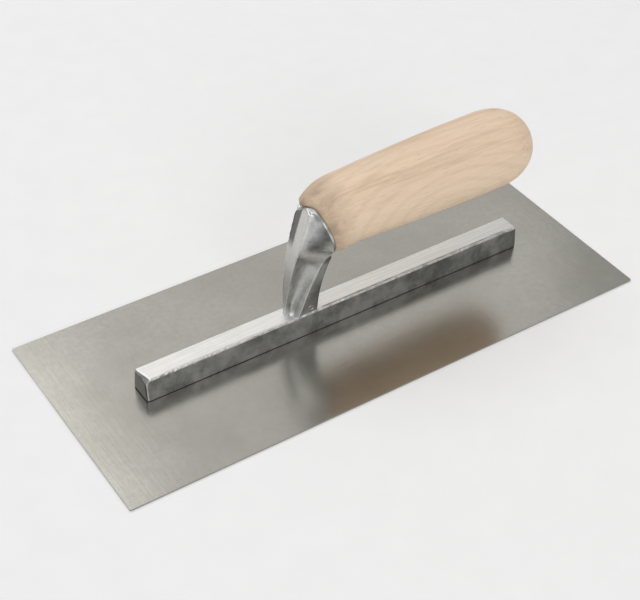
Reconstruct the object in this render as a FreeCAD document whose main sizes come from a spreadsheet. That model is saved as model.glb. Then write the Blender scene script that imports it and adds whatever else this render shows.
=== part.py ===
import FreeCAD, Part
import os

import Sketcher
from FreeCAD import Placement, Rotation, Vector

# Plasterer's finishing trowel: a flat rectangular steel blade, riveted under a die-cast
# aluminium mounting, whose stem carries a beech handle held by one long screw.
#
# Frame: millimetres, origin at the centre of the blade's underside, +X along the blade
# towards the free end of the handle, +Z up. The object is symmetric about the XZ plane.

SIZES = [
    # blade
    ("blade_length", 280.0, "the long side of the sheet"),
    ("blade_width", 115.0, "the short side of the sheet"),
    ("blade_thickness", 0.7, "spring steel sheet"),
    ("blade_corner", 0.8, "rounding of the four corners"),
    # rivets
    ("rivet_radius", 1.6, "shank"),
    ("rivet_head_radius", 2.6, "countersunk head, flush with the underside"),
    ("rivet_length", 8.0, "from the blade's underside to the shank's end"),
    ("rivet_span", 192.0, "from the first rivet to the last"),
    ("rivet_centre", 1.8, "the middle of the row, along X"),
    ("rivet_gap", 0.04, "clearance round a rivet"),
    # rib of the mounting
    ("rib_length", 211.4, "end to end"),
    ("rib_centre", 1.8, "the middle of the rib, along X"),
    ("rib_foot_half", 6.5, "half width at the blade"),
    ("rib_top_half", 5.0, "half width at the top"),
    ("rib_top", 12.4, "height of its top face above the underside of the blade"),
    ("rib_edge", 0.7, "rounding of its top and upright edges"),
    # stem of the mounting
    ("stem_root", 7.5, "height at which the stem starts, inside the rib"),
    ("stem_top", 71.0, "height of its top"),
    ("stem_foot", 28.2, "how far its front line stands to -X at the rib"),
    ("stem_front_radius", 175.0, "the front line is an arc that leans to +X"),
    ("stem_front_foot_half", 1.1, "half width of the front strip at the rib"),
    ("stem_front_half", 4.9, "half width of the front strip where it is widest"),
    ("stem_front_rise", 58.0, "height above the rib where it is widest"),
    ("rim_foot", 23.0, "how far the flank's rim stands to -X at the rib"),
    ("rim_lean", 0.35, "the rim's lean to +X with height"),
    ("rim_half", 5.2, "half width over the rims at the rib"),
    ("rim_taper", 0.06, "growth of that half width with height"),
    ("web_foot", 12.2, "how far the rear edge stands to -X at the rib"),
    ("web_radius", 60.0, "the rear edge is an arc that leans to +X"),
    ("web_half", 4.85, "half thickness of the web behind the rims"),
    ("scoop_depth", 1.6, "hollow of each flank, between the front strip and the rim"),
    # seat for the handle: the plane where wood and casting meet
    ("seat_x", -11.2, "centre of the seat along X"),
    ("seat_height", 58.4, "height of the seat's centre"),
    ("seat_radius", 13.9, "the seat is round"),
    ("seat_tilt", 17.0, "the seat's top leans to -X, in degrees"),
    ("seat_rim", 0.3, "how far the casting's arched top stands outside the seat"),
    ("seat_clear", 20.0, "how far below its centre the seat is cut"),
    ("cut_reach", 40.0, "length of a cut that passes right through the stem"),
    # turned axis of the handle
    ("axis_x", -8.0, "a point on the axis"),
    ("axis_height", 62.7, "the height of that point"),
    ("axis_rise", 1.0, "the axis rises towards the free end, in degrees"),
    # handle, measured along its axis from that point
    ("nose_start", 14.0, "where the front of the handle starts to bend down"),
    ("nose_radius", 16.8, "radius there"),
    ("flare_end", 92.0, "where the handle is thickest"),
    ("flare_radius", 19.0, "radius there"),
    ("dome_length", 24.0, "length of the rounded free end"),
    ("dome_power", 2.3, "2 is a true ellipse, more is squarer"),
    # fixing of the handle, along the same axis
    ("spigot_radius", 5.5, "stub of the casting inside the handle"),
    ("spigot_end", 9.5, "where the stub ends"),
    ("spigot_gap", 0.2, "clearance round the stub and at its end"),
    ("screw_radius", 3.0, "shank of the long screw"),
    ("screw_gap", 0.05, "clearance in the tapped hole"),
    ("screw_bore_gap", 0.4, "clearance in the handle"),
    ("screw_tip", -8.5, "where the screw ends, inside the casting"),
    ("screw_head_radius", 5.8, "pan head"),
    ("screw_head_height", 4.0, "pan head"),
    ("screw_point", 0.6, "chamfer at the end of the screw"),
    ("recess_length", 6.4, "each arm of the cross recess, end to end"),
    ("recess_width", 1.3, "each arm of the cross recess"),
    ("recess_depth", 2.2, "depth of the cross recess"),
    ("seat_depth", 104.0, "where the washer bears on the wood"),
    ("counterbore_radius", 7.0, "the hole for washer and head in the free end"),
    ("washer_radius", 6.6, "flat washer"),
    ("washer_thickness", 1.2, "flat washer"),
]

RIVETS = 8
STEM_STATIONS = (0.0, 0.2, 0.34, 0.46, 0.56, 0.62, 0.66, 0.72, 0.78, 0.84, 0.9, 0.95, 0.98, 1.0)
NOSE_STATIONS = (1.0, 0.86, 0.7, 0.5, 0.25)
FLARE_STATIONS = (0.0, 0.25, 0.5, 0.75, 1.0)
DOME_STATIONS = (0.3, 0.52, 0.7, 0.84, 0.93, 0.965)
HEAD_EDGE = 1.2
NOSE_POWER = 2.5
NOSE_SHRINK_POWER = 5

os.makedirs("parts", exist_ok=True)
doc = FreeCAD.newDocument("Trowel")
sheet = doc.addObject("Spreadsheet::Sheet", "Sizes")
for row, (alias, number, note) in enumerate(SIZES, start=1):
    sheet.set(f"A{row}", alias)
    sheet.set(f"B{row}", str(number))
    sheet.set(f"C{row}", note)
    sheet.setAlias(f"B{row}", alias)
doc.recompute()


def value(expression):
    """The number that an expression of the sheet gives now."""
    return float(sheet.evalExpression(str(expression)))


def new_body(name):
    body = doc.addObject("PartDesign::Body", name)
    body.Label = name
    body.AllowCompound = True
    return body


def origin_feature(body, role):
    return next(f for f in body.Origin.OriginFeatures if f.Role == role)


def new_sketch(body, name, role, lift="0", up="0", turn=None):
    """A sketch on an origin plane of its body, moved up in the plane, lifted off it and turned.

    turn is an angle about the sketch's own horizontal axis."""
    sketch = body.newObject("Sketcher::SketchObject", name)
    sketch.AttachmentSupport = [(origin_feature(body, role), "")]
    sketch.MapMode = "FlatFace"
    start = 0.0 if turn is None else value(turn)
    sketch.AttachmentOffset = Placement(Vector(0, 0, 0), Rotation(Vector(1, 0, 0), start))
    sketch.setExpression("AttachmentOffset.Base.y", up)
    sketch.setExpression("AttachmentOffset.Base.z", lift)
    if turn is not None:
        sketch.setExpression("AttachmentOffset.Rotation.Angle", turn)
    return sketch


def dimension(sketch, kind, where, expression):
    """A dimension of a sketch that follows an expression."""
    index = sketch.addConstraint(Sketcher.Constraint(kind, *where, value(expression)))
    sketch.setExpression(f"Constraints[{index}]", expression)


def place_point(sketch, edge, end, x, y):
    dimension(sketch, "DistanceX", (-1, 1, edge, end), x)
    dimension(sketch, "DistanceY", (-1, 1, edge, end), y)


def polygon(sketch, corners):
    """A closed outline of straight edges, with each corner given by two expressions."""
    points = [Vector(value(x), value(y), 0) for x, y in corners]
    for i, point in enumerate(points):
        sketch.addGeometry(Part.LineSegment(point, points[(i + 1) % len(points)]))
    for i, (x, y) in enumerate(corners):
        sketch.addConstraint(Sketcher.Constraint("Coincident", i - 1 if i else len(corners) - 1, 2, i, 1))
        place_point(sketch, i, 1, x, y)


def circle(sketch, radius, x="0", y="0"):
    centre = Vector(value(x), value(y), 0)
    edge = sketch.addGeometry(Part.Circle(centre, Vector(0, 0, 1), value(radius)))
    dimension(sketch, "Radius", (edge,), radius)
    place_point(sketch, edge, 3, x, y)


def arched_outline(sketch, radius):
    """The outline of what lies above a half circle round the sketch's origin."""
    r = value(radius)
    left, right = Vector(-r, 0, 0), Vector(r, 0, 0)
    high_left, high_right = Vector(-r, 2 * r, 0), Vector(r, 2 * r, 0)
    sketch.addGeometry(Part.Arc(right, Vector(0, r, 0), left))
    sketch.addGeometry(Part.LineSegment(left, high_left))
    sketch.addGeometry(Part.LineSegment(high_left, high_right))
    sketch.addGeometry(Part.LineSegment(high_right, right))
    for ends in ((0, 2, 1, 1), (1, 2, 2, 1), (2, 2, 3, 1), (3, 2, 0, 1)):
        sketch.addConstraint(Sketcher.Constraint("Coincident", *ends))
    sketch.addConstraint(Sketcher.Constraint("Coincident", 0, 3, -1, 1))
    place_point(sketch, 0, 2, f"-({radius})", "0")
    place_point(sketch, 2, 1, f"-({radius})", f"2 * ({radius})")
    place_point(sketch, 3, 1, radius, f"2 * ({radius})")
    dimension(sketch, "DistanceY", (-1, 1, 0, 1), "0")


def rectangle(sketch, length, width, x="0"):
    half_l = f"({length}) / 2"
    half_w = f"({width}) / 2"
    polygon(
        sketch,
        [
            (f"{x} - {half_l}", f"-{half_w}"),
            (f"{x} + {half_l}", f"-{half_w}"),
            (f"{x} + {half_l}", half_w),
            (f"{x} - {half_l}", half_w),
        ],
    )


def pad(body, name, profile, length):
    feature = body.newObject("PartDesign::Pad", name)
    feature.Profile = profile
    feature.setExpression("Length", length)
    return feature


def revolve(body, kind, name, profile):
    """A full turn of a profile drawn in the XZ plane, about the body's X axis."""
    feature = body.newObject(f"PartDesign::{kind}", name)
    feature.Profile = profile
    feature.ReferenceAxis = (origin_feature(body, "X_Axis"), [""])
    feature.Angle = 360
    return feature


def loft(body, name, sections, ruled=False):
    feature = body.newObject("PartDesign::AdditiveLoft", name)
    feature.Profile = sections[0]
    feature.Sections = sections[1:]
    feature.Ruled = ruled
    return feature


def removes_material(body, feature, before):
    """Stops the script if a cut took nothing away."""
    doc.recompute()
    if not feature.Shape.Volume < before - 1e-6:
        raise ValueError(f"{feature.Name} of {body.Label} cuts nothing")


def rivet_row(body, feature):
    """Repeats a feature along X, once for each rivet."""
    pattern = body.newObject("PartDesign::LinearPattern", f"{body.Name}_row")
    pattern.Originals = [feature]
    pattern.Direction = (origin_feature(body, "X_Axis"), [""])
    pattern.setExpression("Length", "Sizes.rivet_span")
    pattern.Occurrences = RIVETS
    body.Tip = pattern


def turned_profile(body, name, corners):
    sketch = new_sketch(body, name, "XZ_Plane")
    polygon(sketch, corners)
    return sketch


def revolve_upright(body, kind, name, profile):
    """A full turn of a profile about its own vertical axis line, the sketch's first edge."""
    feature = body.newObject(f"PartDesign::{kind}", name)
    feature.Profile = profile
    feature.ReferenceAxis = (profile, ["Edge1"])
    feature.Angle = 360
    return feature


FIRST_RIVET = "Sizes.rivet_centre - Sizes.rivet_span / 2"


def rivet_outline(gap):
    """Half section of a rivet or of its hole: its axis first, then head, cone and shank."""
    head = f"(Sizes.rivet_head_radius + {gap})"
    shank = f"(Sizes.rivet_radius + {gap})"
    return [
        (FIRST_RIVET, "0"),
        (FIRST_RIVET, f"Sizes.rivet_length + {gap}"),
        (f"{FIRST_RIVET} + {shank}", f"Sizes.rivet_length + {gap}"),
        (f"{FIRST_RIVET} + {shank}", "Sizes.blade_thickness"),
        (f"{FIRST_RIVET} + {head}", "0"),
    ]


def build_blade():
    body = new_body("blade")
    outline = new_sketch(body, "blade_outline", "XY_Plane")
    rectangle(outline, "Sizes.blade_length", "Sizes.blade_width")
    sheet_metal = pad(body, "blade_sheet", outline, "Sizes.blade_thickness")
    doc.recompute()

    corners = body.newObject("PartDesign::Fillet", "blade_corners")
    corners.Base = (sheet_metal, upright_edges(sheet_metal.Shape))
    corners.setExpression("Radius", "Sizes.blade_corner")
    doc.recompute()
    volume = corners.Shape.Volume

    countersink = turned_profile(body, "blade_countersink_section", rivet_outline("Sizes.rivet_gap"))
    groove = revolve_upright(body, "Groove", "blade_countersink", countersink)
    removes_material(body, groove, volume)
    rivet_row(body, groove)
    return body


def upright_edges(shape):
    """Names of the edges that run straight up."""
    names = []
    for number, edge in enumerate(shape.Edges, start=1):
        box = edge.BoundBox
        if box.XLength < 1e-6 and box.YLength < 1e-6:
            names.append(f"Edge{number}")
    return names


def rib_edge_names(shape):
    """Names of the rib's edges, except those round its foot."""
    foot = value("Sizes.blade_thickness")
    names = []
    for number, edge in enumerate(shape.Edges, start=1):
        if edge.BoundBox.ZMax > foot + 1e-6:
            names.append(f"Edge{number}")
    return names


def stem_section(body, number, fraction):
    """One level section of the stem: front strip, two hollow flanks, two rims and the web."""
    height = f"(Sizes.stem_root + {fraction} * (Sizes.stem_top - Sizes.stem_root))"
    rise = f"({height} - Sizes.rib_top)"
    above_seat = f"(({height} - Sizes.seat_height) / (Sizes.seat_radius * cos(Sizes.seat_tilt * 1 deg)))"
    seat_half = f"(Sizes.seat_radius * sqrt(max(0; 1 - {above_seat}^2)))"

    front_x = f"(-Sizes.stem_foot + {rise}^2 / (2 * Sizes.stem_front_radius))"
    front_half = f"Sizes.stem_front_half * (1 - (1 - {rise} / Sizes.stem_front_rise)^2)"
    front_y = f"(-max(Sizes.stem_front_foot_half; {front_half}))"
    seat_x = f"(Sizes.seat_x - ({height} - Sizes.seat_height) * tan(Sizes.seat_tilt * 1 deg))"
    rim_x = f"min(-Sizes.rim_foot + Sizes.rim_lean * {rise}; {seat_x} - 1)"
    rim_y = f"(-max(Sizes.rim_half + Sizes.rim_taper * {rise}; {seat_half}))"
    web_x = f"(-Sizes.web_foot + {rise}^2 / (2 * Sizes.web_radius))"
    web_y = f"(-max(Sizes.web_half; {seat_half}))"

    sketch = new_sketch(body, f"stem_section_{number}", "XY_Plane", lift=height)
    front = Vector(value(front_x), value(front_y), 0)
    rim = Vector(value(rim_x), value(rim_y), 0)
    web = Vector(value(web_x), value(web_y), 0)
    chord = rim - front
    inward = Vector(-chord.y, chord.x, 0).normalize()
    hollow = (front + rim) / 2 + inward * value("Sizes.scoop_depth")

    def far(point):
        return Vector(point.x, -point.y, 0)

    near_scoop = Part.Arc(front, hollow, rim)
    far_scoop = Part.Arc(far(rim), far(hollow), far(front))
    sketch.addGeometry(Part.LineSegment(far(front), front))
    sketch.addGeometry(near_scoop)
    sketch.addGeometry(Part.LineSegment(rim, web))
    sketch.addGeometry(Part.LineSegment(web, far(web)))
    sketch.addGeometry(Part.LineSegment(far(web), far(rim)))
    sketch.addGeometry(far_scoop)

    def end_at(edge, point):
        return 1 if (sketch.getPoint(edge, 1) - point).Length < 1e-6 else 2

    joints = [
        (0, front, 1),
        (1, rim, 2),
        (2, web, 3),
        (3, far(web), 4),
        (4, far(rim), 5),
        (5, far(front), 0),
    ]
    for edge, point, following in joints:
        ends = (edge, end_at(edge, point), following, end_at(following, point))
        sketch.addConstraint(Sketcher.Constraint("Coincident", *ends))
    for near_edge, far_edge, point in ((0, 0, front), (2, 4, rim), (2, 4, web)):
        ends = (near_edge, end_at(near_edge, point), far_edge, end_at(far_edge, far(point)))
        sketch.addConstraint(Sketcher.Constraint("Symmetric", *ends, -1))
    place_point(sketch, 0, end_at(0, front), front_x, front_y)
    place_point(sketch, 2, end_at(2, rim), rim_x, rim_y)
    place_point(sketch, 2, end_at(2, web), web_x, web_y)
    square = f"(({rim_x} - {front_x})^2 + ({rim_y} - {front_y})^2)"
    radius = f"({square} / 4 + Sizes.scoop_depth^2) / (2 * Sizes.scoop_depth)"
    dimension(sketch, "Radius", (1,), radius)
    dimension(sketch, "Radius", (5,), radius)
    return sketch


def build_mounting():
    body = new_body("mounting")
    rib_section = new_sketch(body, "rib_section", "YZ_Plane", lift="Sizes.rib_centre")
    polygon(
        rib_section,
        [
            ("-Sizes.rib_foot_half", "Sizes.blade_thickness"),
            ("Sizes.rib_foot_half", "Sizes.blade_thickness"),
            ("Sizes.rib_top_half", "Sizes.rib_top"),
            ("-Sizes.rib_top_half", "Sizes.rib_top"),
        ],
    )
    rib = pad(body, "rib", rib_section, "Sizes.rib_length")
    rib.Midplane = True
    doc.recompute()

    edges = body.newObject("PartDesign::Fillet", "rib_edges")
    edges.Base = (rib, rib_edge_names(rib.Shape))
    edges.setExpression("Radius", "Sizes.rib_edge")

    sections = [stem_section(body, i, f) for i, f in enumerate(STEM_STATIONS, start=1)]
    loft(body, "stem", sections, ruled=True)
    doc.recompute()
    volume = body.Shape.Volume

    # everything of the stem behind the plane of the seat is cut away
    slope = "tan(Sizes.seat_tilt * 1 deg)"
    low = "(Sizes.seat_height - Sizes.seat_clear)"
    high = "(Sizes.stem_top + 1)"
    seat_side = new_sketch(body, "seat_side", "XZ_Plane")
    polygon(
        seat_side,
        [
            (f"Sizes.seat_x - ({low} - Sizes.seat_height) * {slope}", low),
            ("Sizes.seat_x + Sizes.cut_reach", low),
            ("Sizes.seat_x + Sizes.cut_reach", high),
            (f"Sizes.seat_x - ({high} - Sizes.seat_height) * {slope}", high),
        ],
    )
    seat = body.newObject("PartDesign::Pocket", "seat")
    seat.Profile = seat_side
    seat.Midplane = True
    seat.setExpression("Length", "Sizes.cut_reach")
    removes_material(body, seat, volume)
    volume = seat.Shape.Volume

    # the stem's top is an arch round the same centre as the seat
    arch_outline = new_sketch(
        body,
        "arch_outline",
        "YZ_Plane",
        lift="Sizes.seat_x",
        up="Sizes.seat_height",
        turn="-Sizes.seat_tilt",
    )
    arched_outline(arch_outline, "Sizes.seat_radius + Sizes.seat_rim")
    arch = body.newObject("PartDesign::Pocket", "arch")
    arch.Profile = arch_outline
    arch.Midplane = True
    arch.setExpression("Length", "Sizes.cut_reach")
    removes_material(body, arch, volume)

    # stub that enters the handle, along the handle's axis
    axis = {"up": "Sizes.axis_height", "lift": "Sizes.axis_x", "turn": "-Sizes.axis_rise"}
    spigot_circle = new_sketch(body, "spigot_circle", "YZ_Plane", **axis)
    circle(spigot_circle, "Sizes.spigot_radius")
    spigot = pad(body, "spigot", spigot_circle, "Sizes.spigot_end")
    spigot.SideType = "Two sides"
    spigot.setExpression("Length2", "-Sizes.screw_tip / 2")
    doc.recompute()
    volume = body.Shape.Volume

    # tapped hole for the screw, open at the stub's end
    screw_circle = new_sketch(body, "screw_circle", "YZ_Plane", **axis)
    circle(screw_circle, "Sizes.screw_radius + Sizes.screw_gap")
    screw_hole = body.newObject("PartDesign::Pocket", "screw_hole")
    screw_hole.Profile = screw_circle
    screw_hole.SideType = "Two sides"
    screw_hole.setExpression("Length", "-Sizes.screw_tip + 1")
    screw_hole.setExpression("Length2", "Sizes.spigot_end + 1")
    removes_material(body, screw_hole, volume)
    volume = screw_hole.Shape.Volume

    rivet_section = turned_profile(body, "rivet_hole_section", rivet_outline("Sizes.rivet_gap"))
    rivet_hole = revolve_upright(body, "Groove", "rivet_hole", rivet_section)
    removes_material(body, rivet_hole, volume)
    rivet_row(body, rivet_hole)
    return body


def build_rivets():
    body = new_body("blade_rivets")
    section = turned_profile(body, "rivet_section", rivet_outline("0"))
    rivet = revolve_upright(body, "Revolution", "rivet", section)
    doc.recompute()
    rivet_row(body, rivet)
    return body


def along_handle(body):
    """Puts a body that is drawn along its own X axis on the turned axis of the handle."""
    body.Placement = Placement(Vector(0, 0, 0), Rotation(Vector(0, 1, 0), -value("Sizes.axis_rise")))
    body.setExpression("Placement.Base.x", "Sizes.axis_x")
    body.setExpression("Placement.Base.z", "Sizes.axis_height")
    body.setExpression("Placement.Rotation.Angle", "-Sizes.axis_rise")


def handle_section(body, number, along, drop, tilt, radius):
    """One round section of the handle, dropped below the axis and leaning back."""
    sketch = new_sketch(body, f"handle_section_{number}", "YZ_Plane", lift=along, up=drop, turn=tilt)
    circle(sketch, radius)
    return sketch


def build_handle():
    body = new_body("handle")
    along_handle(body)
    rise = "(Sizes.axis_rise * 1 deg)"
    seat_dx = "(Sizes.seat_x - Sizes.axis_x)"
    seat_dz = "(Sizes.seat_height - Sizes.axis_height)"
    seat_along = f"({seat_dx} * cos({rise}) + {seat_dz} * sin({rise}))"
    seat_drop = f"({seat_dz} * cos({rise}) - {seat_dx} * sin({rise}))"
    seat_lean = "(Sizes.seat_tilt - Sizes.axis_rise)"

    stations = []
    for u in NOSE_STATIONS:
        bend = u**NOSE_POWER
        shrink = u**NOSE_SHRINK_POWER
        stations.append(
            (
                f"Sizes.nose_start + {u} * ({seat_along} - Sizes.nose_start)",
                f"{bend} * {seat_drop}",
                f"-{bend} * {seat_lean}",
                f"Sizes.nose_radius - {shrink} * (Sizes.nose_radius - Sizes.seat_radius)",
            )
        )
    for u in FLARE_STATIONS:
        stations.append(
            (
                f"Sizes.nose_start + {u} * (Sizes.flare_end - Sizes.nose_start)",
                "0",
                None,
                f"Sizes.nose_radius + {u * (2 - u)} * (Sizes.flare_radius - Sizes.nose_radius)",
            )
        )
    for u in DOME_STATIONS:
        stations.append(
            (
                f"Sizes.flare_end + {u} * Sizes.dome_length",
                "0",
                None,
                f"Sizes.flare_radius * (1 - {u}^Sizes.dome_power)^(1 / Sizes.dome_power)",
            )
        )
    sections = [handle_section(body, i, *station) for i, station in enumerate(stations, start=1)]
    loft(body, "handle_wood", sections)
    doc.recompute()
    volume = body.Shape.Volume

    # one stepped bore: socket for the stub, clearance for the screw, counterbore for its head
    socket = "(Sizes.spigot_radius + Sizes.spigot_gap)"
    bore = "(Sizes.screw_radius + Sizes.screw_bore_gap)"
    socket_end = "(Sizes.spigot_end + Sizes.spigot_gap)"
    beyond = "(Sizes.flare_end + Sizes.dome_length + 2)"
    bore_section = turned_profile(
        body,
        "bore_section",
        [
            ("2 * Sizes.seat_x", "0"),
            ("2 * Sizes.seat_x", socket),
            (socket_end, socket),
            (socket_end, bore),
            ("Sizes.seat_depth", bore),
            ("Sizes.seat_depth", "Sizes.counterbore_radius"),
            (beyond, "Sizes.counterbore_radius"),
            (beyond, "0"),
        ],
    )
    groove = revolve(body, "Groove", "bore", bore_section)
    removes_material(body, groove, volume)
    return body


def build_screw():
    body = new_body("handle_screw")
    along_handle(body)
    under_head = "(Sizes.seat_depth + Sizes.washer_thickness)"
    head_top = f"({under_head} + Sizes.screw_head_height)"
    section = turned_profile(
        body,
        "screw_section",
        [
            ("Sizes.screw_tip", "0"),
            ("Sizes.screw_tip", "Sizes.screw_radius - Sizes.screw_point"),
            ("Sizes.screw_tip + Sizes.screw_point", "Sizes.screw_radius"),
            (under_head, "Sizes.screw_radius"),
            (under_head, "Sizes.screw_head_radius"),
            (f"{head_top} - {HEAD_EDGE}", "Sizes.screw_head_radius"),
            (head_top, f"Sizes.screw_head_radius - {HEAD_EDGE}"),
            (head_top, "0"),
        ],
    )
    revolve(body, "Revolution", "screw", section)
    doc.recompute()
    volume = body.Shape.Volume

    arms = new_sketch(body, "recess_arms", "YZ_Plane", lift=head_top)
    length = "Sizes.recess_length / 2"
    width = "Sizes.recess_width / 2"
    corners = []
    for sx, sy in ((1, 1), (-1, 1), (-1, -1), (1, -1)):
        wide = (f"{sx} * {length}", f"{sy} * {width}")
        inner = (f"{sx} * {width}", f"{sy} * {width}")
        tall = (f"{sx} * {width}", f"{sy} * {length}")
        corners += [wide, inner, tall] if sx * sy > 0 else [tall, inner, wide]
    polygon(arms, corners)
    recess = body.newObject("PartDesign::Pocket", "recess")
    recess.Profile = arms
    recess.setExpression("Length", "Sizes.recess_depth")
    removes_material(body, recess, volume)
    return body


def build_washer():
    body = new_body("screw_washer")
    along_handle(body)
    ring = new_sketch(body, "washer_ring", "YZ_Plane", lift="Sizes.seat_depth")
    circle(ring, "Sizes.washer_radius")
    circle(ring, "Sizes.screw_radius + Sizes.screw_bore_gap / 2")
    pad(body, "washer", ring, "Sizes.washer_thickness")
    return body


SUB_PARTS = [
    build_blade(),
    build_mounting(),
    build_rivets(),
    build_handle(),
    build_screw(),
    build_washer(),
]

doc.recompute()
for thing in doc.Objects:
    if {"Invalid", "Error"} & set(thing.State):
        raise ValueError(f"{thing.Name} did not rebuild: {thing.State}")
for body in SUB_PARTS:
    shape = body.Shape
    if shape.isNull() or not shape.isValid():
        raise ValueError(f"{body.Label} has no valid shape")
    shape.exportStep(f"parts/{body.Label}.step")
    print(body.Label, len(shape.Solids), "solids", round(shape.Volume, 1), "mm3", shape.BoundBox)
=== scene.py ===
import math

import bmesh
import bpy
import numpy as np
from mathutils import Matrix, Vector, noise


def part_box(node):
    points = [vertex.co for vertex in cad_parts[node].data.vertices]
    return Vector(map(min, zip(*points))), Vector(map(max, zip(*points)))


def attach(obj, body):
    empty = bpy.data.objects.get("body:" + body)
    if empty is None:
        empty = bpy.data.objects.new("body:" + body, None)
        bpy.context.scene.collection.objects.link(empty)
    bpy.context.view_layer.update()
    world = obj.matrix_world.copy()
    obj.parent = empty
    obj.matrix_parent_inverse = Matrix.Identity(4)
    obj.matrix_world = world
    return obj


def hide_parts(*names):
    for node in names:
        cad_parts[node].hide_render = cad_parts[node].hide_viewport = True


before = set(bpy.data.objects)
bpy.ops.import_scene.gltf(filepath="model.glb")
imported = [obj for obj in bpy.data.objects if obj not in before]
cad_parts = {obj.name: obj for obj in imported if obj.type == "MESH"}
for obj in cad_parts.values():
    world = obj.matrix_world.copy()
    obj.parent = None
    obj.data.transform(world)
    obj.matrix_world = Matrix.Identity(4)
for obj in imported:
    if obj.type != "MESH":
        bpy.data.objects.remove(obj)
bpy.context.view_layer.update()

# Plasterer's finishing trowel. Lengths in this file are millimetres, turned into metres
# where a mesh is made. The frame is the CAD one: +X along the blade towards the free end
# of the handle, +Y across it, +Z up, origin under the middle of the blade.

MM = 0.001

# ---------------------------------------------------------------- places from the frame


def box_mm(node):
    """Lowest and highest corner of a CAD node, in millimetres."""
    low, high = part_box(node)
    return np.array(low) / MM, np.array(high) / MM


BLADE_LOW, BLADE_HIGH = box_mm("blade")
CAST_LOW, CAST_HIGH = box_mm("mounting")

RIB_FOOT = BLADE_HIGH[2]
RIB_TOP = 12.4
RIB_FOOT_HALF = 6.5
RIB_TOP_HALF = 5.0

STEM_ROOT = 9.0
STEM_TOP = CAST_HIGH[2]
STEM_FRONT_X = -28.2
STEM_FRONT_RADIUS = 175.0
STEM_FRONT_HALF = 4.9
STEM_FRONT_FOOT_HALF = 1.1
STEM_FRONT_RISE = 58.0

SEAT_X = -11.2
SEAT_HEIGHT = 58.4
SEAT_RADIUS = CAST_HIGH[1]
SEAT_TILT = math.radians(17.0)

AXIS_X = -8.0
AXIS_HEIGHT = 62.7
AXIS_RISE = math.radians(1.0)
NOSE_START = 14.0
NOSE_RADIUS = 16.8
FLARE_END = 92.0
FLARE_RADIUS = 19.0
DOME_LENGTH = 24.0
DOME_POWER = 2.3
WASHER_SEAT = 104.0
COUNTERBORE = 7.0
SCREW_BORE = 3.4

# ---------------------------------------------------------------- mesh helpers


def curve(at, knots):
    """A smooth curve through a few (position, value) knots, without overshoot."""
    x, v = (np.array(c, float) for c in zip(*knots))
    step = np.diff(x)
    slope = np.diff(v) / step
    tangent = np.zeros_like(v)
    for i in range(1, len(x) - 1):
        if slope[i - 1] * slope[i] > 0:
            tangent[i] = 2 * slope[i - 1] * slope[i] / (slope[i - 1] + slope[i])
    tangent[0], tangent[-1] = slope[0], slope[-1]
    at = np.clip(np.asarray(at, float), x[0], x[-1])
    i = np.clip(np.searchsorted(x, at) - 1, 0, len(x) - 2)
    s = (at - x[i]) / step[i]
    return (
        v[i] * (1 + 2 * s) * (1 - s) ** 2
        + tangent[i] * step[i] * s * (1 - s) ** 2
        + v[i + 1] * s * s * (3 - 2 * s)
        + tangent[i + 1] * step[i] * s * s * (s - 1)
    )


def grain(point, scale, offset=0.0):
    """Smooth noise from -1 to 1 at a point in millimetres; scale is the grain's size."""
    return noise.noise(Vector(point) / scale + Vector((offset, 2.3 * offset, -offset)))


def smooth_step(x, low, high):
    """0 below low, 1 above high, and an S-shaped rise between them."""
    t = np.clip((x - low) / (high - low), 0.0, 1.0)
    return t * t * (3 - 2 * t)


def between(x, rise_from, rise_to, fall_from, fall_to):
    """1 over a stretch, with an S-shaped rise before it and a fall after it."""
    return smooth_step(x, rise_from, rise_to) * (1 - smooth_step(x, fall_from, fall_to))


def hump(x, middle, width):
    """A bell curve, 1 at its middle."""
    return np.exp(-(((x - middle) / width) ** 2))


def rings_mesh(name, rings):
    """A closed mesh from rings of points, all of one length, in millimetres."""
    rings = np.asarray(rings, float)
    count, around, _ = rings.shape
    bm = bmesh.new()
    grid = [[bm.verts.new(p * MM) for p in ring] for ring in rings]
    for a, b in zip(grid, grid[1:]):
        for j in range(around):
            k = (j + 1) % around
            bm.faces.new((a[j], a[k], b[k], b[j]))
    bm.faces.new(list(reversed(grid[0])))
    bm.faces.new(grid[-1])
    bmesh.ops.recalc_face_normals(bm, faces=bm.faces)
    mesh = bpy.data.meshes.new(name)
    bm.to_mesh(mesh)
    bm.free()
    piece = bpy.data.objects.new(name, mesh)
    bpy.context.scene.collection.objects.link(piece)
    return piece


def shade(piece, angle):
    """Smooth shading, with sharp edges where two faces meet at more than the angle."""
    bm = bmesh.new()
    bm.from_mesh(piece.data)
    for face in bm.faces:
        face.smooth = True
    for edge in bm.edges:
        edge.smooth = not (edge.is_manifold and edge.calc_face_angle(0.0) > math.radians(angle))
    bm.to_mesh(piece.data)
    bm.free()


def resampled(points, count):
    """A polyline as the given number of points, evenly spaced along it."""
    points = np.asarray(points, float)
    run = np.r_[0, np.cumsum(np.linalg.norm(np.diff(points, axis=0), axis=1))]
    at = np.linspace(0, run[-1], count)
    return np.stack([np.interp(at, run, points[:, k]) for k in range(points.shape[1])], axis=1)


# ---------------------------------------------------------------- mounting: the rib

RIB_STATIONS = 620
RIB_END_ROUND = 0.9
END_CAP_RINGS = 9
END_CAP_INNER = 0.08
END_CAP_OUTER = 0.92
FILED_LEAST = 0.5
FILED_MORE = 1.9
FILED_SLOPE = 0.95
FLASH_DROP = 0.85
FLASH_SIDE = 0.55
GROOVE_Y = -4.25
GROOVE_DEPTH = 0.32
GROOVE_RIGHT = (-11.0, -8.0, 96.0, 104.0)
GROOVE_LEFT = (-98.0, -90.0, -40.0, -30.0)


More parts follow.
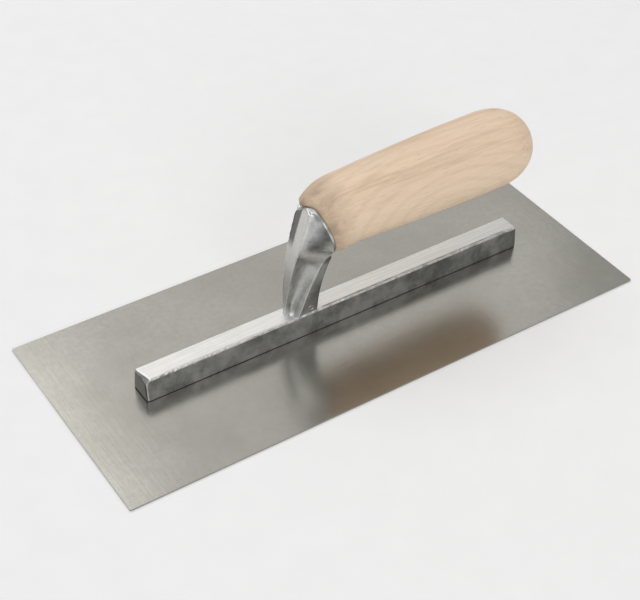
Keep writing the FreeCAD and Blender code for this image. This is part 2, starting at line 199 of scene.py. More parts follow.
def rib_section():
    """The rib's outline across Y and Z, starting at the near foot."""
    near_top = (-RIB_TOP_HALF + FLASH_SIDE - 0.25, RIB_TOP)
    near_side = (-RIB_TOP_HALF - 0.28, RIB_TOP - FLASH_DROP)
    far_bevel = 0.35
    groove_end = GROOVE_Y + 0.7
    corners = [
        ((-RIB_FOOT_HALF, RIB_FOOT), near_side, 26),
        (near_side, near_top, 10),
        (near_top, (groove_end, RIB_TOP), 9),
        ((groove_end, RIB_TOP), (RIB_TOP_HALF - far_bevel, RIB_TOP), 20),
        ((RIB_TOP_HALF - far_bevel, RIB_TOP), (RIB_TOP_HALF, RIB_TOP - far_bevel), 4),
        ((RIB_TOP_HALF, RIB_TOP - far_bevel), (RIB_FOOT_HALF, RIB_FOOT), 22),
        ((RIB_FOOT_HALF, RIB_FOOT), (-RIB_FOOT_HALF, RIB_FOOT), 12),
    ]
    points = []
    for start, end, steps in corners:
        t = np.linspace(0, 1, steps, endpoint=False)[:, None]
        points.append(np.array(start) * (1 - t) + np.array(end) * t)
    return np.concatenate(points)


def build_rib():
    """The rib as a mesh, with rounded ends, worn edges and a filed left end."""
    section = rib_section()
    centre = np.array([0.0, (RIB_FOOT + RIB_TOP) / 2])
    x_low, x_high = CAST_LOW[0], CAST_HIGH[0]
    inner = np.linspace(x_low + RIB_END_ROUND, x_high - RIB_END_ROUND, RIB_STATIONS)
    turn = np.radians([0, 15, 30, 45, 60, 75, 90])
    rounding = [(RIB_END_ROUND * (1 - math.sin(a)), RIB_END_ROUND * (1 - math.cos(a))) for a in turn]
    left = [(x_low + back, inset) for back, inset in rounding[::-1]]
    right = [(x_high - back, inset) for back, inset in rounding]
    stations = left[:-1] + [(x, 0.0) for x in inner] + right[1:]
    half = np.abs(section - centre).max(axis=0)

    def ring(x, inset):
        shrink = 1 - inset / half
        flat = centre + (section - centre) * shrink
        flat[:, 1] = np.maximum(flat[:, 1], RIB_FOOT)
        return np.column_stack([np.full(len(flat), x), flat])

    def end_cap(x, steps):
        rim = ring(x, RIB_END_ROUND)
        middle = np.array([x, *centre])
        return [middle + (rim - middle) * step for step in steps]

    rings = end_cap(x_low, np.linspace(END_CAP_INNER, END_CAP_OUTER, END_CAP_RINGS))
    rings += [ring(x, inset) for x, inset in stations]
    rings += end_cap(x_high, np.linspace(END_CAP_OUTER, END_CAP_INNER, END_CAP_RINGS))
    rings = np.array(rings)

    # the left end's top edge was filed off, more on the near side
    x, y, z = rings[..., 0], rings[..., 1], rings[..., 2]
    bevel = FILED_LEAST + FILED_MORE * smooth_step(-y, -4.5, 5.0)
    limit = RIB_TOP - np.clip(bevel - (x - x_low), 0, None) * FILED_SLOPE
    rings[..., 2] = np.minimum(z, limit)
    rings[..., 1:] = rib_wear(rings)
    return rings_mesh("rib_part", rings)


def groove_at(x):
    """How deep the groove beside the near top edge is at x, from 0 to 1."""
    run = between(x, *GROOVE_RIGHT) + 0.5 * between(x, *GROOVE_LEFT)
    return run * (0.65 + 0.35 * grain((x, 0, 0), 5.0, 8.0))


def rib_wear(rings):
    """Y and Z of the rib's points after the marks of casting, trimming and grinding."""
    moved = rings[..., 1:].copy()
    for i in range(rings.shape[0]):
        for j in range(rings.shape[1]):
            x, y, z = rings[i, j]
            if z <= RIB_FOOT + 0.3:
                continue
            edge = hump(y, -RIB_TOP_HALF, 0.55) * hump(z, RIB_TOP - 0.4, 0.75)
            ragged = 0.30 * grain((x, 0, z), 1.7, 3.0) + 0.22 * grain((x, y, z), 0.8, 5.0)
            if z > RIB_TOP - 0.05:
                sideways = 0.0
                lift = 0.02 * grain((0.12 * x, y, 0), 0.9, 2.0)
                groove = GROOVE_DEPTH * groove_at(x) * hump(y, GROOVE_Y, 0.22)
            else:
                skin = 0.035 * grain((x, y, z), 6.0) + 0.02 * grain((x, y, z), 1.5, 9.0)
                sideways = math.copysign(1, y) * skin
                lift = 0.0
                groove = 0.0
            moved[i, j, 0] = y + sideways - edge * (0.10 + ragged * 0.5)
            moved[i, j, 1] = z + lift + edge * ragged * 0.55 - groove
    return moved


# ---------------------------------------------------------------- mounting: the stem

STEM_LEVELS = 210
SEAT_LOW = 51.0
FLANK_TOP = 55.0
RIM_FOOT_X = -23.0
RIM_SLOPE = 0.35
WEB_FOOT_X = -12.2

# (height, half width) of the rims and of the web between the hollow flanks, and (height, depth)
# of the hollows
RIM_HALF = [
    (9, 5.2), (20, 5.35), (28, 5.8), (36, 6.7), (41, 7.5),
    (45, 8.9), (48, 10.6), (51, 12.2), (55, 13.5),
]
WEB_HALF = [(9, 4.7), (38, 4.8), (42, 5.6), (45, 7.0), (48, 9.6), (51, 12.0), (55, 13.5)]
SCOOP_DEPTH = [(9, 1.9), (30, 2.1), (40, 1.9), (46, 1.3), (52, 0.8), (69, 0.5)]

LIP_LOW = 12.0
LIP_ROUND = 4.5
BEND_HEIGHT = 48.0
LIP_X = -27.6
FACET_START = 0.8
FACET_SLOPE = 0.16
FACET_LOW = 48.0
FACET_FULL = 55.0
ARCH_RADIUS = SEAT_RADIUS + 0.15
ARCH_ROUND = 0.6
ARCH_FAR_DROP = 2.9


def seat_x_at(z):
    """X of the seat's plane at a height."""
    return SEAT_X - (z - SEAT_HEIGHT) * math.tan(SEAT_TILT)


def seat_half_at(z):
    """Half the width of the seat's disc at a height."""
    reach = (z - SEAT_HEIGHT) / (SEAT_RADIUS * math.cos(SEAT_TILT))
    return SEAT_RADIUS * math.sqrt(max(0.0, 1 - reach * reach))


def front_line(z):
    """X of the middle of the stem's front at a height."""
    rise = z - RIB_TOP
    return STEM_FRONT_X + rise * rise / (2 * STEM_FRONT_RADIUS)


def rim_line(z):
    """X of the rims at a height."""
    return RIM_FOOT_X + RIM_SLOPE * (z - RIB_TOP)


def half_width(z, knots):
    """Half the stem's width at a height, from its own curve or the seat's disc if that is wider."""
    own = float(curve(z, knots)) if z < FLANK_TOP else 0
    disc = seat_half_at(z) if z >= SEAT_LOW else 0
    return max(own, disc)


def stem_ring(z):
    """A level section: one half from the front centre round to the rear centre, then its mirror."""
    rise = z - RIB_TOP
    front_x = front_line(z)
    widest = STEM_FRONT_HALF * (1 - (1 - rise / STEM_FRONT_RISE) ** 2)
    front_half = max(STEM_FRONT_FOOT_HALF, widest)
    seat_x = seat_x_at(z)
    rim_x = min(rim_line(z), seat_x - 0.75)
    rim_half = half_width(z, RIM_HALF)
    web_half = half_width(z, WEB_HALF)
    rear_x = min(WEB_FOOT_X + rise * rise / 120.0, seat_x)
    depth = float(curve(z, SCOOP_DEPTH))

    crown = 0.25
    ridge = np.array([front_x + 0.1, -front_half])
    rim = np.array([rim_x - 0.35, -rim_half])
    chord = rim - ridge
    length = np.hypot(*chord)
    inward = np.array([-chord[1], chord[0]]) / length
    s = np.linspace(0, 1, 44)
    lip = LIP_LOW + 3.2 * np.abs(2 * s - 1) ** 2.6
    open_part = np.clip((z - lip) / LIP_ROUND, 0, 1)
    hollow = depth * np.sqrt(1 - (1 - open_part) ** 2) * (1 - np.abs(2 * s - 1) ** 2.2)
    scoop = ridge + np.outer(s, chord) + np.outer(hollow, inward)

    # the front strip, slightly crowned
    strip_y = np.linspace(0, -front_half, 14)[:-1]
    strip = np.column_stack([front_x + crown * (1 - (strip_y / front_half) ** 2) * 0.5, strip_y])
    rim_top = np.array([[rim_x, -rim_half - 0.06], [rim_x + 0.35, -rim_half]])
    flank_start = np.array([min(rim_x + 0.75, rear_x - 0.05), -web_half])
    corner = 0.7 if z < 44 else 0.15
    flank_end = np.array([max(rear_x - corner, flank_start[0] + 0.01), -web_half])
    bend = [
        [flank_end[0] + (rear_x - flank_end[0]) * math.sin(a), -web_half + corner * (1 - math.cos(a))]
        for a in np.radians([30, 60, 90])
    ]
    flank = resampled([flank_start, flank_end], 12)
    rear = np.column_stack([np.full(10, rear_x), np.linspace(-web_half + corner, 0, 11)[1:]])
    near = np.concatenate([strip, scoop, rim_top, flank, np.array(bend), rear])
    far = near[::-1][1:-1] * np.array([1, -1])
    ring = np.concatenate([near, far])
    return np.column_stack([ring, np.full(len(ring), z)]), front_x, front_half


def build_stem():
    """The stem as a mesh, from inside the rib up to its top, with worn edges."""
    levels = np.linspace(STEM_ROOT, STEM_TOP - 0.05, STEM_LEVELS)
    rings = []
    for z in levels:
        ring, front_x, front_half = stem_ring(z)
        facet = smooth_step(z, FACET_LOW, FACET_FULL)
        for p in ring:
            is_front = p[0] < front_x + 0.45 and abs(p[1]) <= front_half + 0.01
            # a cut facet: the far half of the front falls back towards the top
            if is_front and p[1] > FACET_START:
                p[0] += FACET_SLOPE * facet * (p[1] - FACET_START)
            ridge = hump(p[0], front_x, 0.8) * hump(abs(p[1]), front_half, 0.45)
            ragged = 0.20 + 0.30 * grain(p, 1.4, 4.0) + 0.16 * grain(p, 0.6, 7.0)
            side = math.copysign(1, p[1])
            worn = between(z, 13, 17, 65, 68)
            p[1] += side * ridge * ragged * 0.8 * worn
            p[0] -= ridge * ragged * 0.7 * worn
            p[1] += side * 0.03 * grain(p, 5.0, 1.0)
        rings.append(ring)
    # rings that close the top
    top = rings[-1]
    middle = top.mean(axis=0)
    for drop, shrink in ((0.0, 0.985), (0.03, 0.95), (0.05, 0.6), (0.05, 0.2)):
        inner = middle + (top - middle) * shrink
        inner[:, 0] = np.minimum(inner[:, 0], seat_x_at(STEM_TOP))
        inner[:, 2] = STEM_TOP - 0.05 + drop
        rings.append(inner)
    return rings_mesh("stem_part", rings)


def union(first, second):
    """Adds the second mesh to the first as one closed skin."""
    cut = first.modifiers.new("union", "BOOLEAN")
    cut.operation = "UNION"
    cut.solver = "EXACT"
    cut.object = second
    depsgraph = bpy.context.evaluated_depsgraph_get()
    mesh = bpy.data.meshes.new_from_object(first.evaluated_get(depsgraph))
    first.modifiers.clear()
    first.data = mesh
    bpy.data.objects.remove(second)


def soften(piece, rounds, factor):
    """Rounds the ridges of a mesh by a few passes of smoothing."""
    bm = bmesh.new()
    bm.from_mesh(piece.data)
    for _ in range(rounds):
        bmesh.ops.smooth_vert(
            bm, verts=bm.verts, factor=factor, use_axis_x=True, use_axis_y=True, use_axis_z=True
        )
    bm.to_mesh(piece.data)
    bm.free()


def points_of(piece):
    """The mesh's points, in millimetres."""
    co = np.zeros(len(piece.data.vertices) * 3, np.float32)
    piece.data.vertices.foreach_get("co", co)
    return co.reshape(-1, 3).astype(float) / MM


def seat_frame(x, z):
    """Distances up along the seat's plane and forward of it, from the seat's centre."""
    up = (z - SEAT_HEIGHT) * math.cos(SEAT_TILT) - (x - SEAT_X) * math.sin(SEAT_TILT)
    forward = -(x - SEAT_X) * math.cos(SEAT_TILT) - (z - SEAT_HEIGHT) * math.sin(SEAT_TILT)
    return up, forward


def behind_front(x, z):
    """How far a point lies behind the stem's front line."""
    return x - front_line(z)


def arch_top(points):
    """Pulls the stem's top in to an arch round the seat's centre, with a rounded front edge."""
    x, y, z = points.T
    up, forward = seat_frame(x, z)
    behind = behind_front(x, z)
    edge = np.clip(1 - behind / ARCH_ROUND, 0, 1)
    limit = ARCH_RADIUS - ARCH_ROUND * (1 - np.sqrt(1 - edge * edge))
    limit = limit - ARCH_FAR_DROP * smooth_step(y, -1.5, 5.0)
    reach = np.hypot(up, y)
    kept = np.where(reach > limit, limit + 0.02 * (reach - limit), reach)
    factor = np.where((up > 4.0) & (z > SEAT_HEIGHT), kept / np.maximum(reach, 1.0), 1.0)
    up, y = up * factor, y * factor
    x = SEAT_X - forward * math.cos(SEAT_TILT) - up * math.sin(SEAT_TILT)
    z = SEAT_HEIGHT - forward * math.sin(SEAT_TILT) + up * math.cos(SEAT_TILT)
    return np.column_stack([x, y, z])


def paint(piece, name, values):
    """Stores a value for each point of the mesh, for the material to use."""
    attribute = piece.data.attributes.new(name, "FLOAT", "POINT")
    attribute.data.foreach_set("value", np.asarray(values, np.float32))


def ground_and_highlight_tone(x, y, z):
    """How bright the casting is at each point, from 0 to 1: ground bare metal on the rib's top and trimmed
    edge, and painted highlights on the stem's front strip, rims, bend band and lip.
    """
    behind = behind_front(x, z)
    line = rim_line(z)

    # the rib's top face and its trimmed near edge, which is bare in patches
    face = smooth_step(0.16 - np.abs(z - RIB_TOP), 0, 0.06) * (x > CAST_LOW[0] + 0.4)
    patchy = np.array([grain((a, 0, 0), 3.2, 11.0) + 0.5 * grain((a, 0, 0), 1.1, 3.0) for a in x])
    on_bevel = (y < -RIB_TOP_HALF + 0.7) & (z > RIB_TOP - FLASH_DROP) & (z < RIB_TOP + 0.5)
    beside_stem = smooth_step(-x, 27.0, 29.0) + smooth_step(x, -12.5, -11.0)
    bead = on_bevel * beside_stem * smooth_step(patchy, -0.5, 0.1)

    # the stem's front strip and its rims, lightened as a painted highlight
    strip = 0.8 * smooth_step(0.55 - behind, 0, 0.3) * smooth_step(z, RIB_TOP + 1, RIB_TOP + 2)
    rim_y = np.array([float(curve(a, RIM_HALF)) for a in np.clip(z, 9, 54)])
    rim = smooth_step(0.5 - np.abs(np.abs(y) - rim_y), 0, 0.35) * (z > RIB_TOP + 0.6) * (z < 52)
    rim = rim * smooth_step(x, line - 0.8, line - 0.4) * (x < line + 1.1)

    # painted highlights on the band where the flanks bend outwards, and on the lip beside the stem's foot
    band = hump(z + 0.25 * (x + 20), BEND_HEIGHT, 2.4) * smooth_step(behind, 1.0, 2.2)
    band = band * smooth_step(np.abs(y), 4.0, 5.0) * smooth_step(line - x, -0.6, 0.4)
    lip = hump(x, LIP_X, 2.2) * hump(y, -RIB_TOP_HALF, 1.2)
    lip = lip * (z > RIB_TOP - 1.2) * (z < RIB_TOP + 2)
    return np.max([face, bead, strip, rim, band, lip], axis=0)


def painted_shade_tone(x, y, z):
    """Painted shade on the casting at each point, from 0 to 1."""
    behind = behind_front(x, z)
    up, forward = seat_frame(x, z)
    # painted shade on the far facet of the front, the crest of the stem's top, the web behind the rims and
    # the cheeks near the seat
    facet = smooth_step(z, FACET_LOW, FACET_FULL) * smooth_step(y, FACET_START - 0.4, FACET_START + 0.4)
    facet = facet * smooth_step(1.6 - behind, 0, 0.5)
    crest = 0.55 * smooth_step(up, 9.0, 10.5) * smooth_step(2.9 - forward, 0, 0.4)
    web = 0.32 * smooth_step(x - rim_line(z) - 2.0, 0, 0.6) * between(z, 14, 16, 44, 46)
    cheek = 0.22 * smooth_step(z, 49, 52) * smooth_step(behind, 0.8, 1.6) * smooth_step(forward, 0.8, 1.6)
    # painted contact shadow along the rib's foot
    foot = 0.7 * smooth_step(RIB_FOOT + 0.6 - z, 0, 0.5)
    # painted shade in the groove beside the near top edge
    groove = hump(y, GROOVE_Y, 0.25) * (np.abs(z - RIB_TOP) < 0.5)
    groove = groove * np.array([groove_at(a) for a in x])
    # painted shade on the rib's left end face
    end_face = 0.92 * smooth_step(CAST_LOW[0] + 0.5 - x, 0, 0.3) * (z < RIB_TOP - 1.0)
    return np.max([facet, crest, foot, groove, end_face, web, cheek], axis=0)


def build_mounting():
    """The casting: rib and stem as one skin, with its ground metal, painted highlights and painted shade
    stored for the material.
    """
    casting = build_rib()
    union(casting, build_stem())
    casting.name = "mounting_casting"
    casting.data.name = "mounting_casting"
    points = arch_top(points_of(casting))
    casting.data.vertices.foreach_set("co", (points * MM).astype(np.float32).ravel())
    soften(casting, 2, 0.5)
    x, y, z = points_of(casting).T
    paint(casting, "ground_and_highlight", ground_and_highlight_tone(x, y, z))
    paint(casting, "painted_shade", painted_shade_tone(x, y, z))
    shade(casting, 50)
    return casting


# ---------------------------------------------------------------- handle

HANDLE_AROUND = 144
WOOD_OVER = 2.1


def handle_path():
    """Rings of the handle along its turned axis: (along, drop, lean, radius)."""
    dx, dz = SEAT_X - AXIS_X, SEAT_HEIGHT - AXIS_HEIGHT
    seat_along = dx * math.cos(AXIS_RISE) + dz * math.sin(AXIS_RISE)
    seat_drop = dz * math.cos(AXIS_RISE) - dx * math.sin(AXIS_RISE)
    lean = SEAT_TILT - AXIS_RISE
    path = []
    for inset, back in ((0.9, 0.0), (0.45, 0.06), (0.15, 0.25)):
        path.append((seat_along + back, seat_drop, lean, SEAT_RADIUS - inset))
    for u in np.linspace(0.985, 0, 60):
        radius = NOSE_RADIUS - u**5 * (NOSE_RADIUS - SEAT_RADIUS)
        path.append((NOSE_START + u * (seat_along - NOSE_START), u**2.5 * seat_drop, u**2.5 * lean, radius))
    for u in np.linspace(0, 1, 70)[1:]:
        radius = NOSE_RADIUS + u * (2 - u) * (FLARE_RADIUS - NOSE_RADIUS)
        path.append((NOSE_START + u * (FLARE_END - NOSE_START), 0, 0, radius))
    last = (1 - (COUNTERBORE / FLARE_RADIUS) ** DOME_POWER) ** (1 / DOME_POWER)
    for a in np.linspace(0, math.asin(last), 50)[1:]:
        v = math.sin(a)
        radius = FLARE_RADIUS * (1 - v**DOME_POWER) ** (1 / DOME_POWER)
        path.append((FLARE_END + v * DOME_LENGTH, 0, 0, radius))
    mouth = FLARE_END + last * DOME_LENGTH
    for along, radius in ((mouth + 0.02, COUNTERBORE + 0.15), (mouth - 0.25, COUNTERBORE)):
        path.append((along, 0, 0, radius))
    for along in np.linspace(mouth - 1, WASHER_SEAT, 8):
        path.append((along, 0, 0, COUNTERBORE))
    path += [(WASHER_SEAT, 0, 0, COUNTERBORE * 0.8), (WASHER_SEAT, 0, 0, SCREW_BORE)]
    path.append((WASHER_SEAT - 4, 0, 0, SCREW_BORE))
    return path


def build_handle():
    """The grip as one closed skin, bore and all, with the wood's nose drawn over the casting."""
    turn = np.linspace(0, 2 * math.pi, HANDLE_AROUND, endpoint=False)
    axis = Matrix.Rotation(-AXIS_RISE, 4, "Y")
    origin = Vector((AXIS_X, 0, AXIS_HEIGHT))
    rings = []
    for along, drop, lean, radius in handle_path():
        ring = []
        for a in turn:
            wobble = 0.05 * grain((along, 8 * math.cos(a), 8 * math.sin(a)), 14.0, 6.0) if radius > 10 else 0
            r = radius + wobble
            reach = r * math.cos(a)
            local = (along - reach * math.sin(lean), r * math.sin(a), drop + reach * math.cos(lean))
            point = origin + axis @ Vector(local)
            high = smooth_step(math.cos(a), 0.55, 0.9) * smooth_step(point.y, -3.5, 2.0)
            point.x -= WOOD_OVER * high * smooth_step(-point.x, 8.0, 14.0)
            ring.append(point)
        rings.append([tuple(p) for p in ring])
    handle = rings_mesh("handle_grip", rings)
    shade(handle, 40)
    return handle


# ---------------------------------------------------------------- materials


class Nodes:
    """A material's node tree, with short ways to add and link nodes."""

    def __init__(self, name):
        self.material = bpy.data.materials.new(name)
        self.material.use_nodes = True
        self.tree = self.material.node_tree
        self.tree.nodes.clear()
        self.output = self.tree.nodes.new("ShaderNodeOutputMaterial")
        self.shader = self.tree.nodes.new("ShaderNodeBsdfPrincipled")
        self.link(self.shader.outputs[0], self.output.inputs[0])

    def link(self, source, target):
        self.tree.links.new(source, target)

    def add(self, kind, **inputs):
        node = self.tree.nodes.new("ShaderNode" + kind)
        for key, value in inputs.items():
            self.feed(node, key, value)
        return node

    def feed(self, node, key, value):
        socket = node.inputs[key.replace("_", " ")]
        if isinstance(value, bpy.types.NodeSocket):
            self.link(value, socket)
        else:
            socket.default_value = value

    def place(self, scale, shift=(0, 0, 0)):
        """Object coordinates in metres, scaled and shifted on each axis."""
        mapping = self.add("Mapping", Vector=self.add("TexCoord").outputs["Object"])
        mapping.inputs["Location"].default_value = shift
        mapping.inputs["Scale"].default_value = scale
        return mapping.outputs[0]

    def painted(self, name):
        """The values that paint() stored on the mesh under a name."""
        node = self.add("Attribute")
        node.attribute_name = name
        return node.outputs["Fac"]

    def noise(self, where, scale, detail=4.0, roughness=0.5, distortion=0.0):
        node = self.add("TexNoise", Vector=where, Scale=scale, Detail=detail, Roughness=roughness)
        node.inputs["Distortion"].default_value = distortion
        return node.outputs[0]

    def ramp(self, factor, stops):
        """A colour ramp; each stop is (position, value) or (position, (r, g, b))."""
        node = self.add("ValToRGB", Fac=factor)
        elements = node.color_ramp.elements
        while len(elements) < len(stops):
            elements.new(0.5)
        for element, (position, value) in zip(elements, stops):
            rgb = (value,) * 3 if isinstance(value, (int, float)) else value
            element.position = position
            element.color = (*rgb, 1)
        return node.outputs[0]

    def mix(self, factor, a, b):
        """A blend of two colours; a and b are sockets or (r, g, b)."""
        node = self.tree.nodes.new("ShaderNodeMix")
        node.data_type = "RGBA"
        for socket, value in ((node.inputs[0], factor), (node.inputs[6], a), (node.inputs[7], b)):
            if isinstance(value, bpy.types.NodeSocket):
                self.link(value, socket)
            elif isinstance(value, (int, float)):
                socket.default_value = value
            else:
                socket.default_value = (*value, 1)
        return node.outputs[2]

    def math(self, operation, a, b, c=0.0):
        """A calculation on two values, or on three where the operation takes three."""
        node = self.tree.nodes.new("ShaderNodeMath")
        node.operation = operation
        for socket, value in zip(node.inputs, (a, b, c)):
            if isinstance(value, bpy.types.NodeSocket):
                self.link(value, socket)
            else:
                socket.default_value = value
        return node.outputs[0]

    def bump(self, height, strength, distance, normal=None):
        node = self.add("Bump", Height=height, Strength=strength, Distance=distance)
        if normal is not None:
            self.link(normal, node.inputs["Normal"])
        return node.outputs[0]


def blade_material():
    """Satin steel with fine lines both ways and faint specks."""
    n = Nodes("blade_satin_steel")
    plain = n.place((1, 1, 1))
    across = n.place((30, 900, 30))
    along = n.place((700, 26, 26))
    clouds = n.noise(plain, 14, 5, 0.6)
    specks = n.noise(plain, 420, 3, 0.6)
    lines = n.noise(across, 1.0, 4, 0.6)
    strokes = n.noise(along, 1.0, 4, 0.6)
    tone = n.mix(n.ramp(clouds, [(0.3, 0), (0.7, 1)]), (0.315, 0.305, 0.27), (0.395, 0.385, 0.35))
    tone = n.mix(n.ramp(specks, [(0.35, 0.25), (0.6, 0)]), tone, (0.30, 0.29, 0.27))
    n.feed(n.shader, "Base Color", tone)
    n.shader.inputs["Metallic"].default_value = 1.0
    n.feed(n.shader, "Roughness", n.math("MULTIPLY_ADD", n.math("ADD", clouds, lines), 0.07, 0.15))
    height = n.math("ADD", lines, strokes)
    fine = n.bump(height, 0.10, 0.0002)
    n.feed(n.shader, "Normal", n.bump(specks, 0.03, 0.0002, fine))
    return n.material


EJECTOR_X = -16.1
EJECTOR_Z = 14.9
EJECTOR_RADIUS = 1.2


def casting_material():
    """Cast aluminium, with the ground metal, painted highlights and painted shade that are stored on the
    mesh.
    """
    n = Nodes("mounting_aluminium")
    plain = n.place((1, 1, 1))
    along = n.place((40, 1400, 1400))
    ground_and_highlight = n.painted("ground_and_highlight")
    clouds = n.noise(plain, 90, 5, 0.65)
    skin = n.noise(plain, 900, 4, 0.6)
    strokes = n.noise(along, 1.0, 4, 0.65)
    cast = n.mix(n.ramp(clouds, [(0.38, 0), (0.60, 1)]), (0.41, 0.42, 0.415), (0.73, 0.74, 0.735))
    filed_and_highlight = n.mix(n.ramp(strokes, [(0.3, 0), (0.7, 1)]), (0.68, 0.67, 0.64), (0.92, 0.91, 0.88))
    # filed colour on the ground metal, and the same colour as a painted highlight on the strip, rims, bend
    # band and lip
    metal_with_painted_light = n.mix(ground_and_highlight, cast, filed_and_highlight)
    # painted shade: darkens the metal towards near black where the mesh stores it
    metal_with_painted_light = n.mix(n.math("MULTIPLY", n.painted("painted_shade"), 0.85), metal_with_painted_light, (0.10, 0.10, 0.10))
    # the ejector's mark: a ring pressed into the foot of the web
    apart = n.add("VectorMath")
    apart.operation = "DISTANCE"
    n.link(n.place((1, 0, 1)), apart.inputs[0])
    apart.inputs[1].default_value = (EJECTOR_X * MM, 0, EJECTOR_Z * MM)
    reach = n.math("MULTIPLY", apart.outputs["Value"], 1 / (2 * EJECTOR_RADIUS * MM))
    mark = n.ramp(reach, [(0.36, 0.0), (0.46, 1.0), (0.54, 1.0), (0.64, 0.0)])
    n.feed(n.shader, "Base Color", n.mix(n.math("MULTIPLY", mark, 0.5), metal_with_painted_light, (0.90, 0.90, 0.88)))
    n.shader.inputs["Metallic"].default_value = 1.0
    cast_rough = n.ramp(clouds, [(0.3, 0.26), (0.7, 0.42)])
    filed_rough = n.ramp(strokes, [(0.3, 0.42), (0.7, 0.6)])
    n.feed(n.shader, "Roughness", n.mix(ground_and_highlight, cast_rough, filed_rough))
    height = n.mix(ground_and_highlight, skin, strokes)
    coarse = n.bump(clouds, 0.25, 0.0004)
    pressed = n.bump(mark, 0.6, 0.0004, coarse)
    n.feed(n.shader, "Normal", n.bump(height, 0.22, 0.0003, pressed))
    return n.material


# the shells of the wood's figure lie round a point just inside the handle's near side, and are
# drawn out along it
FIGURE_STRETCH = (0.36, 1, 1)
FIGURE_SHIFT = (-0.0226, 0.014, -0.0630)


def wood_material():
    """Beech: an oval figure, streaks, fibres and flecks along the grain, and painted shade that darkens the
    nose.
    """
    n = Nodes("handle_beech")
    figure = n.place(FIGURE_STRETCH, FIGURE_SHIFT)
    warp = n.noise(figure, 45, 3, 0.5)
    bent = n.tree.nodes.new("ShaderNodeVectorMath")
    bent.operation = "MULTIPLY_ADD"
    n.link(warp, bent.inputs[0])
    bent.inputs[1].default_value = (0.006, 0.006, 0.010)
    n.link(figure, bent.inputs[2])
    rings = n.add("TexWave", Vector=bent.outputs[0], Scale=75.0, Distortion=1.2, Detail=3.0)
    rings.wave_type = "RINGS"
    rings.rings_direction = "SPHERICAL"
    rings.inputs["Detail Scale"].default_value = 1.4
    streaks = n.noise(n.place((11, 210, 210)), 1.0, 4, 0.6, 0.4)
    fibres = n.noise(n.place((28, 900, 900)), 1.0, 5, 0.65)
    flecks = n.noise(n.place((160, 1500, 1500)), 1.0, 2, 0.5)
    clouds = n.noise(n.place((14, 55, 55)), 1.0, 3, 0.5)
    where = n.add("SeparateXYZ", Vector=n.add("TexCoord").outputs["Object"])
    along = n.math("MULTIPLY_ADD", where.outputs[0], 25.0, 0.5)
    nose = n.ramp(along, [(0.22, 1.0), (0.52, 0.0)])
    pink, light, brown = (0.93, 0.70, 0.52), (0.92, 0.73, 0.53), (0.56, 0.40, 0.265)
    tone = n.mix(n.ramp(clouds, [(0.35, 0), (0.62, 1)]), pink, light)
    tone = n.mix(n.ramp(rings.outputs[1], [(0.62, 0.0), (0.92, 0.13)]), tone, brown)
    tone = n.mix(n.ramp(streaks, [(0.33, 0.34), (0.46, 0.0)]), tone, brown)
    tone = n.mix(n.ramp(fibres, [(0.36, 0.16), (0.56, 0.0)]), tone, brown)
    tone = n.mix(n.ramp(flecks, [(0.28, 0.30), (0.37, 0.0)]), tone, brown)
    # painted shade over the nose, fading out near x = 0 and broken by the streaks
    end = n.math("MULTIPLY", nose, n.ramp(streaks, [(0.35, 0.80), (0.65, 0.38)]))
    tone = n.mix(end, tone, (0.40, 0.29, 0.20))
    n.feed(n.shader, "Base Color", tone)
    n.feed(n.shader, "Roughness", n.ramp(fibres, [(0.3, 0.62), (0.7, 0.5)]))
    n.shader.inputs["Specular IOR Level"].default_value = 0.35
    n.feed(n.shader, "Normal", n.bump(n.math("ADD", fibres, flecks), 0.12, 0.0003))
    return n.material


def fastener_material():
    """Zinc plated steel."""
    n = Nodes("fastener_zinc_plate")
    plain = n.place((1, 1, 1))
    clouds = n.noise(plain, 300, 4, 0.6)
    fine = n.noise(plain, 1800, 3, 0.6)
    tone = n.mix(n.ramp(clouds, [(0.3, 0), (0.7, 1)]), (0.55, 0.55, 0.56), (0.70, 0.70, 0.70))
    n.feed(n.shader, "Base Color", tone)
    n.shader.inputs["Metallic"].default_value = 1.0
    n.feed(n.shader, "Roughness", n.ramp(clouds, [(0.3, 0.25), (0.7, 0.40)]))
    n.feed(n.shader, "Normal", n.bump(fine, 0.15, 0.0002))
    return n.material


def floor_material():
    """Matt white paper that gives off a little light of its own, to stay as pale as a backdrop."""
    n = Nodes("studio_floor")
    where = n.place((1, 1, 1))
    paper = n.noise(where, 60, 4, 0.5)
    n.feed(n.shader, "Base Color", n.ramp(paper, [(0.3, 0.80), (0.7, 0.82)]))
    n.shader.inputs["Roughness"].default_value = 0.9
    n.shader.inputs["Specular IOR Level"].default_value = 0.1
    n.shader.inputs["Emission Color"].default_value = (1.0, 1.0, 1.0, 1.0)
    n.shader.inputs["Emission Strength"].default_value = 0.18
    return n.material


def dress(piece, material):
    """Gives a piece one material in place of those it has."""
    piece.data.materials.clear()
    piece.data.materials.append(material)


# ---------------------------------------------------------------- pieces

mounting = build_mounting()
dress(mounting, casting_material())
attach(mounting, "root")
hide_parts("mounting")

handle = build_handle()
dress(handle, wood_material())
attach(handle, "root")
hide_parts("handle")

dress(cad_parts["blade"], blade_material())
fastener = fastener_material()
for node in ("blade_rivets", "handle_screw", "screw_washer"):
    dress(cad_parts[node], fastener)

# ---------------------------------------------------------------- studio


FLOOR_HALF = 6.0
FLOOR_GAP = 0.0002
CAMERA_TURN = math.radians(-35.27)
CAMERA_LIFT = math.radians(40.71)
CAMERA_ROLL = math.radians(2.22)
CAMERA_DISTANCE = 0.68168
CAMERA_ASIDE = -0.00628
CAMERA_ABOVE = 0.00677
CAMERA_LENS = 80.12


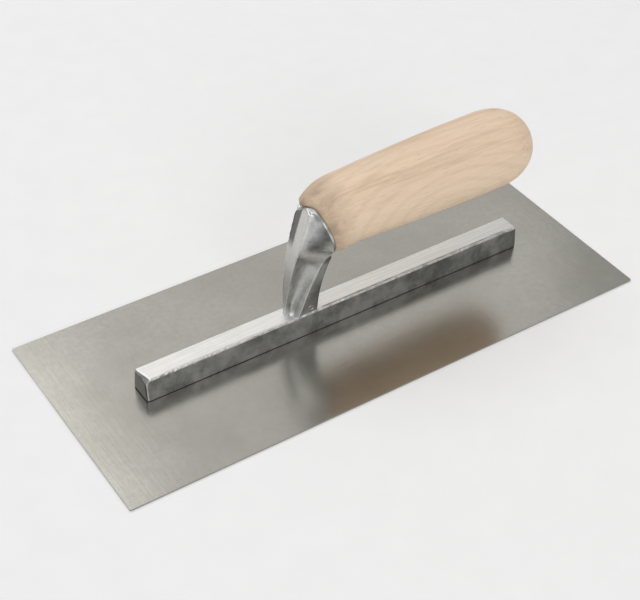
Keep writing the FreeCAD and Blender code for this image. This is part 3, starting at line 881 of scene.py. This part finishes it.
def build_floor():
    """A plain square floor, in metres, just under the blade."""
    bm = bmesh.new()
    corners = [(-1, -1), (1, -1), (1, 1), (-1, 1)]
    level = BLADE_LOW[2] * MM - FLOOR_GAP
    bm.faces.new([bm.verts.new((x * FLOOR_HALF, y * FLOOR_HALF, level)) for x, y in corners])
    mesh = bpy.data.meshes.new("studio_floor")
    bm.to_mesh(mesh)
    bm.free()
    floor = bpy.data.objects.new("studio_floor", mesh)
    bpy.context.scene.collection.objects.link(floor)
    dress(floor, floor_material())


def build_camera():
    """A camera at 40.7 degrees above the blade, from the near side and the left end."""
    turn, lift, roll = CAMERA_TURN, CAMERA_LIFT, CAMERA_ROLL
    level = math.cos(lift)
    back = Vector((math.sin(turn) * level, -math.cos(turn) * level, math.sin(lift)))
    right = Vector((math.cos(turn), math.sin(turn), 0))
    up = back.cross(right)
    right, up = (
        math.cos(roll) * right + math.sin(roll) * up,
        math.cos(roll) * up - math.sin(roll) * right,
    )
    data = bpy.data.cameras.new("camera")
    data.sensor_width = 36.0
    data.lens = CAMERA_LENS
    data.clip_start = 0.01
    camera = bpy.data.objects.new("camera", data)
    pose = Matrix((right, up, back)).transposed().to_4x4()
    pose.translation = back * CAMERA_DISTANCE + right * CAMERA_ASIDE + up * CAMERA_ABOVE
    camera.matrix_world = pose
    bpy.context.scene.collection.objects.link(camera)
    bpy.context.scene.camera = camera


def soft_light(name, turn, lift, distance, size, power):
    """A white softbox that faces the origin from a direction given in degrees."""
    turn, lift = math.radians(turn), math.radians(lift)
    level = math.cos(lift)
    direction = Vector((math.cos(turn) * level, math.sin(turn) * level, math.sin(lift)))
    data = bpy.data.lights.new(name, "AREA")
    data.shape = "RECTANGLE"
    data.size, data.size_y = size
    data.energy = power
    light = bpy.data.objects.new(name, data)
    light.location = direction * distance
    light.rotation_euler = direction.to_track_quat("Z", "Y").to_euler()
    bpy.context.scene.collection.objects.link(light)


def build_world(level):
    """An even white surrounding light."""
    world = bpy.data.worlds.new("studio")
    world.use_nodes = True
    background = world.node_tree.nodes["Background"]
    background.inputs[0].default_value = (1.0, 1.0, 1.0, 1)
    background.inputs[1].default_value = level
    bpy.context.scene.world = world


build_floor()
build_camera()
build_world(0.3)
soft_light("front_softbox", 228, 22, 2.4, (1.2, 1.2), 4.0)
soft_light("near_softbox", 258, 28, 2.4, (1.1, 1.0), 10.5)
soft_light("back_softbox", 98, 52, 2.6, (1.5, 1.2), 13.5)
soft_light("back_right_softbox", 58, 42, 2.6, (1.3, 1.3), 4.0)
soft_light("right_softbox", 25, 40, 2.6, (1.3, 1.3), 1.8)
soft_light("near_right_softbox", 290, 45, 2.4, (1.2, 1.2), 2.0)
soft_light("top_softbox", 170, 80, 2.6, (1.2, 1.2), 14.5)
bpy.context.scene.view_settings.view_transform = "Standard"
